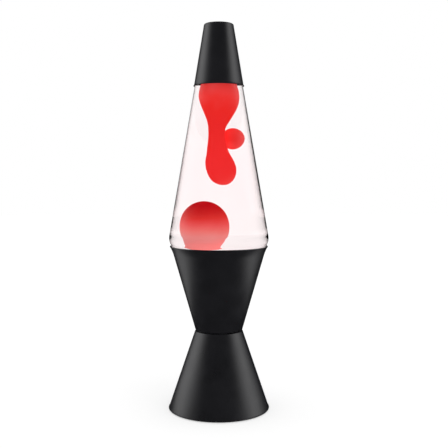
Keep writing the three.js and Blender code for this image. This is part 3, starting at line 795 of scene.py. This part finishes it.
def makeColumn():
    low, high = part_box("wax_column")
    bottom, top = low.z / mm, high.z / mm
    rings = [(bottom + share * (top - bottom), radius, x, 0) for share, radius, x in columnRings]
    piece = ringStack("waxColumn", rings)
    # painted light: lighter red at the foot and round the top bulge, deep red between
    finishWax(piece, "wax_column", paraffinWax(
        "redWaxColumn", (0.0, "#ee4340"), (0.12, "#e62a2b"), (0.5, "#e02524"), (0.66, "#e42622"),
        (0.8, "#ea3a38"), (0.92, "#ee4c4c"), (1.0, "#e62e2c"), node="wax_column", clouding=0.3))


def finishWax(piece, node, material):
    body = next(name for name, nodes in frame["record"]["behaviour"]["bodies"].items() if node in nodes)
    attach(piece, body)
    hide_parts(node)
    piece.data.materials.append(material)


# share of the height, share of the widest radius
ballRings = [
    (0, 0.3), (0.006, 0.5), (0.016, 0.6), (0.026, 0.66), (0.036, 0.73), (0.048, 0.79), (0.062, 0.835),
    (0.08, 0.875), (0.11, 0.92), (0.15, 0.95), (0.2, 0.972), (0.26, 0.99), (0.32, 1), (0.38, 1),
    (0.44, 0.998),
]
ball = {"waist": 0.38, "rings": 9, "lastAngle": 86}


def makeBall():
    # round above its widest height and flatter below it, where it has just left the pool
    low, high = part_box("wax_ball")
    radius, x = (high.x - low.x) / 2 / mm, (low.x + high.x) / 2 / mm
    height = (high.z - low.z) / mm
    rings = [(low.z / mm + share * height, radius * wide, x, 0) for share, wide in ballRings]
    middle = low.z / mm + ball["waist"] * height
    rise = high.z / mm - middle
    for i in range(2, ball["rings"] + 1):
        angle = math.radians(ball["lastAngle"] * i / ball["rings"])
        rings.append((middle + rise * math.sin(angle), radius * math.cos(angle), x, 0))
    # painted light: pale pink at the bottom where the bulb's light is painted in, darkening to deep red at
    # the top
    finishWax(ringStack("waxBall", rings), "wax_ball", paraffinWax(
        "redWaxBall", (0.0, "#e89e9c"), (0.15, "#ea8c89"), (0.3, "#e76f6b"), (0.45, "#e35050"),
        (0.59, "#d2302d"), (0.74, "#c21e1e"), (0.89, "#b20b14"), (1.0, "#ac0912"), node="wax_ball"))


drop = {"rings": 13, "lastAngle": 86}


def makeDrop():
    low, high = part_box("wax_drop")
    centre, half = (low + high) / 2 / mm, (high - low) / 2 / mm
    rings = []
    for i in range(drop["rings"]):
        angle = math.radians(drop["lastAngle"] * (2 * i / (drop["rings"] - 1) - 1))
        rings.append((centre.z + half.z * math.sin(angle), half.x * math.cos(angle), centre.x, centre.y))
    # painted light: a little lighter at the bottom and top than in the middle
    finishWax(ringStack("waxDrop", rings), "wax_drop", paraffinWax(
        "redWaxDrop", (0.0, "#ea4340"), (0.5, "#e02a28"), (1.0, "#e43634"), node="wax_drop", clouding=0.3))


pool = {"depth": 9, "rounding": 0.6, "dome": 2, "domeRings": 12, "gap": 0.3,
        "humpRadius": 21, "humpHalfHeight": 10, "humpTop": 10, "humpSunk": 4,
        "crestRadius": 7.5, "crestTip": 0.7, "crestGap": 0.3, "crestRings": 10, "crestCurve": 2.2}


def makePool():
    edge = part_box("globe_glass")[0].z / mm + globe["wall"] + pool["depth"]
    wall = upTo(wetWall(pool["gap"]), edge - pool["rounding"])
    rim = wall[-1][0]
    shares = [i / pool["domeRings"] for i in range(2, pool["domeRings"] + 1)]
    dome = [(rim * (1 - t), edge + pool["dome"] * math.sin(math.pi / 2 * t) ** 2) for t in shares]
    piece = turned("waxPool", [*wall, (rim - 0.3, edge - 0.2), (rim - 1.2, edge), *dome], smoothAngle=60)
    joinHump(piece)
    # painted light: red paling to pink towards the top, where the bulb's light is painted in
    finishWax(piece, "wax_pool", paraffinWax(
        "redWaxPool", (0.0, "#ee5a50"), (0.4, "#ee605a"), (0.8, "#f09a98"), (1.0, "#f6cfd0"),
        node="wax_pool"))


def joinHump(piece):
    # the hump under the ball, with the crest that the ball has drawn up
    ballLow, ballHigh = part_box("wax_ball")
    crestTop = ballLow.z / mm - pool["crestGap"]
    middle = ballLow.z / mm - pool["humpTop"] - pool["humpHalfHeight"]
    underside = middle - pool["humpSunk"]
    outline = [(0, underside), (pool["humpRadius"] - 1, underside)]
    for degrees in range(0, 90, 4):
        angle = math.radians(degrees)
        r = pool["humpRadius"] * math.cos(angle)
        if r > pool["crestRadius"]:
            outline.append((r, middle + pool["humpHalfHeight"] * math.sin(angle)))
    footRadius, foot = outline[-1]
    for i in range(1, pool["crestRings"] + 1):
        share = i / pool["crestRings"]
        r = footRadius + (pool["crestTip"] - footRadius) * share
        outline.append((r, foot + (crestTop - foot) * share ** pool["crestCurve"]))
    ballMiddle = (ballLow.x + ballHigh.x) / 2
    hump = turned("waxHump", [*outline, (0, crestTop)], smoothAngle=60, at=(ballMiddle, 0, 0))
    selectOnly(piece)
    join = piece.modifiers.new("join", "BOOLEAN")
    join.operation = "UNION"
    join.solver = "EXACT"
    join.object = hump
    bpy.ops.object.modifier_apply(modifier=join.name)
    bpy.data.objects.remove(hump)
    bpy.ops.object.shade_smooth_by_angle(angle=math.radians(60))


makeColumn()
makeBall()
makeDrop()
makePool()


spring = {"turns": 60, "wire": 0.35}


def makeSpring():
    low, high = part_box("wire_coil")
    middle = (high.z + low.z) / 2
    coilRadius = (high.z - low.z) / 2 / mm
    ring = high.x - coilRadius * mm
    around = lambda t: Vector((ring * math.cos(math.tau * t), ring * math.sin(math.tau * t), middle))
    winding = coilRadius - spring["wire"]
    piece = coiledWire("springCoil", around, winding, spring["turns"], spring["wire"], 10)
    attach(piece, "globe")
    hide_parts("wire_coil")
    piece.data.materials.append(springSteel())


makeSpring()
print("wax made")


bulb = {"wall": 0.7, "radius": 17.45, "neckRadius": 6.85, "flareAngle": 44, "roundAngle": 20}
filament = {"archRadius": 6.5, "turns": 34, "wire": 0.12, "coil": 0.38}


def makeBulb():
    low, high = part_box("bulb_glass")
    bottom, top = low.z / mm, high.z / mm
    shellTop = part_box("bulb_screw_shell")[1].z / mm
    centre = top - bulb["radius"]
    flareBottom, flareTop = arc(0, centre, bulb["radius"], -bulb["flareAngle"], -bulb["roundAngle"], 1)
    neck = rounded([
        (bulb["neckRadius"], bottom),
        (bulb["neckRadius"], shellTop + 0.3, 0.8),
        (*flareBottom, 6),
        flareTop,
    ], 5)
    envelope = [*neck[:-1], *arc(0, centre, bulb["radius"], -bulb["roundAngle"], 90, 24)]
    inside = inward(envelope, bulb["wall"])
    inside[-1] = (0, top - bulb["wall"])
    envelope[-1] = (0, top)
    outline = [*reversed(inside), *envelope]
    piece = turned("bulbEnvelope", outline, steps=96, smoothAngle=50)
    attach(piece, "bulb")
    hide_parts("bulb_glass")
    piece.data.materials.append(lampGlass())


def makeFilament():
    low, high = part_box("bulb_filament")
    height = (low.z + high.z) / 2
    reach = filament["archRadius"] * mm
    arch = lambda t: Vector((reach * math.cos(math.pi * t), reach * math.sin(math.pi * t), height))
    piece = coiledWire("filamentCoil", arch, filament["coil"], filament["turns"], filament["wire"], 8)
    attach(piece, "bulb")
    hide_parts("bulb_filament")
    piece.data.materials.append(hotTungsten())


makeBulb()
makeFilament()
print("bulb made")


def clearStemGlass():
    # lead glass, pressed flat round the wires
    material, tree, shader, coords = newMaterial(
        "pressedStemGlass", transmission=1, ior=1.53, roughness=0.05)
    seeds = speckle(tree, coords, 1.5)
    tree.links.new(
        colourBetween(tree, seeds, (0.3, "#eef4f3"), (0.7, "#fbfdfd")), shader.inputs["Base Color"])
    bumped(tree, shader, seeds, 0.01)
    return material


finishes = {
    "black_rubber": rubber,
    "phenolic": phenolicResin(),
    "brass": rolledBrass(),
    "zinc_steel": zincPlate(),
    "black_board": fibreBoard(),
    "solder": dullSolder(),
    "black_glass": castBlackGlass(),
    "stem_glass": clearStemGlass(),
    "liner": foamLiner(),
}
for part in frame["record"]["subparts"]:
    finish = finishes.get(part["material_slot"])
    node = frame["nodes"][part["node"]]
    if finish and not node.hide_render:
        node.data.materials.clear()
        node.data.materials.append(finish)
print("finishes given")


# reflected lights are (degrees round from the camera's side, brightness)
studio = {"domeRadius": 4.0, "floorGlow": 0.52, "sunPower": 0.35, "sunTilt": (28, 22), "sunSpread": 40,
          "panelAway": 0.9, "panelTop": 1.1, "cardInner": 0.25, "cardHeight": 0.002, "cardBright": 0.65,
          "left": [(48, 0.1), (58, 0.35), (68, 0.8), (78, 1.5), (88, 1.9), (98, 1.9),
                   (108, 1.5), (118, 1.1), (128, 0.6), (138, 0)],
          "right": [(44, 0.1), (54, 0.5), (64, 1.2), (74, 1.8), (84, 2.0), (94, 1.7),
                    (104, 1.0), (114, 0.5), (124, 0.2), (134, 0)]}


def glowing(name, colour, strength):
    material = bpy.data.materials.new(name)
    material.use_nodes = True
    tree = material.node_tree
    tree.nodes.clear()
    glow = addNode(tree, "ShaderNodeEmission", values={"Color": linear(colour), "Strength": strength})
    addNode(tree, "ShaderNodeOutputMaterial", links={"Surface": glow.outputs[0]})
    return material


def onlyFor(obj, *rays):
    for ray in ("camera", "diffuse", "glossy", "transmission", "volume_scatter", "shadow"):
        setattr(obj, "visible_" + ray, ray in rays)


def makeDome():
    deselectAll()
    bpy.ops.mesh.primitive_uv_sphere_add(segments=48, ring_count=24, radius=studio["domeRadius"])
    dome = bpy.context.object
    dome.name = "studioDome"
    dome.data.materials.append(glowing("domeLight", "#ffffff", 1.0))
    onlyFor(dome, "camera", "diffuse", "transmission")


def makeFloor():
    deselectAll()
    bpy.ops.mesh.primitive_circle_add(vertices=96, radius=studio["domeRadius"] - 0.05, fill_type="NGON")
    floor = bpy.context.object
    floor.name = "studioFloor"
    material, tree, shader, coords = newMaterial(
        "paleTable", roughness=0.8, specular=0.0, glow=linear("#ffffff"), glowStrength=studio["floorGlow"])
    paper = speckle(tree, coords, 400, 1.0)
    tree.links.new(
        colourBetween(tree, paper, (0.3, "#b9b9b9"), (0.7, "#bcbcbc")), shader.inputs["Base Color"])
    floor.data.materials.append(material)
    onlyFor(floor, "camera", "diffuse", "transmission", "shadow")


def lightSheet(name, span, near, far, strength):
    # a sheet of light seen only in reflections: it spans two angles, in degrees round from the camera's side,
    # and runs from one distance and height to another
    deselectAll()
    bpy.ops.mesh.primitive_plane_add(size=1)
    sheet = bpy.context.object
    sheet.name = name
    corners = [(angle, away, height) for away, height in (near, far) for angle in span]
    for vertex, (angle, away, height) in zip(sheet.data.vertices, corners):
        turn = math.radians(angle)
        vertex.co = (away * math.sin(turn), -away * math.cos(turn), height)
    sheet.data.materials.append(glowing(name + "Light", "#ffffff", strength))
    onlyFor(sheet, "glossy")


def makePanels():
    # upright panels either side, and cards on the floor below them
    away, floor = studio["panelAway"], studio["cardHeight"]
    for label, side in (("left", -1), ("right", 1)):
        for (start, strength), (end, _) in zip(studio[label], studio[label][1:]):
            span = (side * start, side * end)
            lightSheet(f"panel_{label}{start}", span, (away, 0), (away, studio["panelTop"]), strength)
            bright = strength * studio["cardBright"]
            lightSheet(f"card_{label}{start}", span, (studio["cardInner"], floor), (away, floor), bright)


def makeLight():
    tiltX, tiltY = (math.radians(degrees) for degrees in studio["sunTilt"])
    bpy.ops.object.light_add(type="SUN", rotation=(tiltX, tiltY, 0))
    sun = bpy.context.object
    sun.data.energy = studio["sunPower"]
    sun.data.angle = math.radians(studio["sunSpread"])
    sun.visible_glossy = False
    world = bpy.data.worlds.new("studioWorld")
    scene.world = world
    world.use_nodes = True
    world.node_tree.nodes["Background"].inputs["Color"].default_value = linear("#0b0b0c")


makeDome()
makeFloor()
makePanels()
makeLight()
print("studio lit")
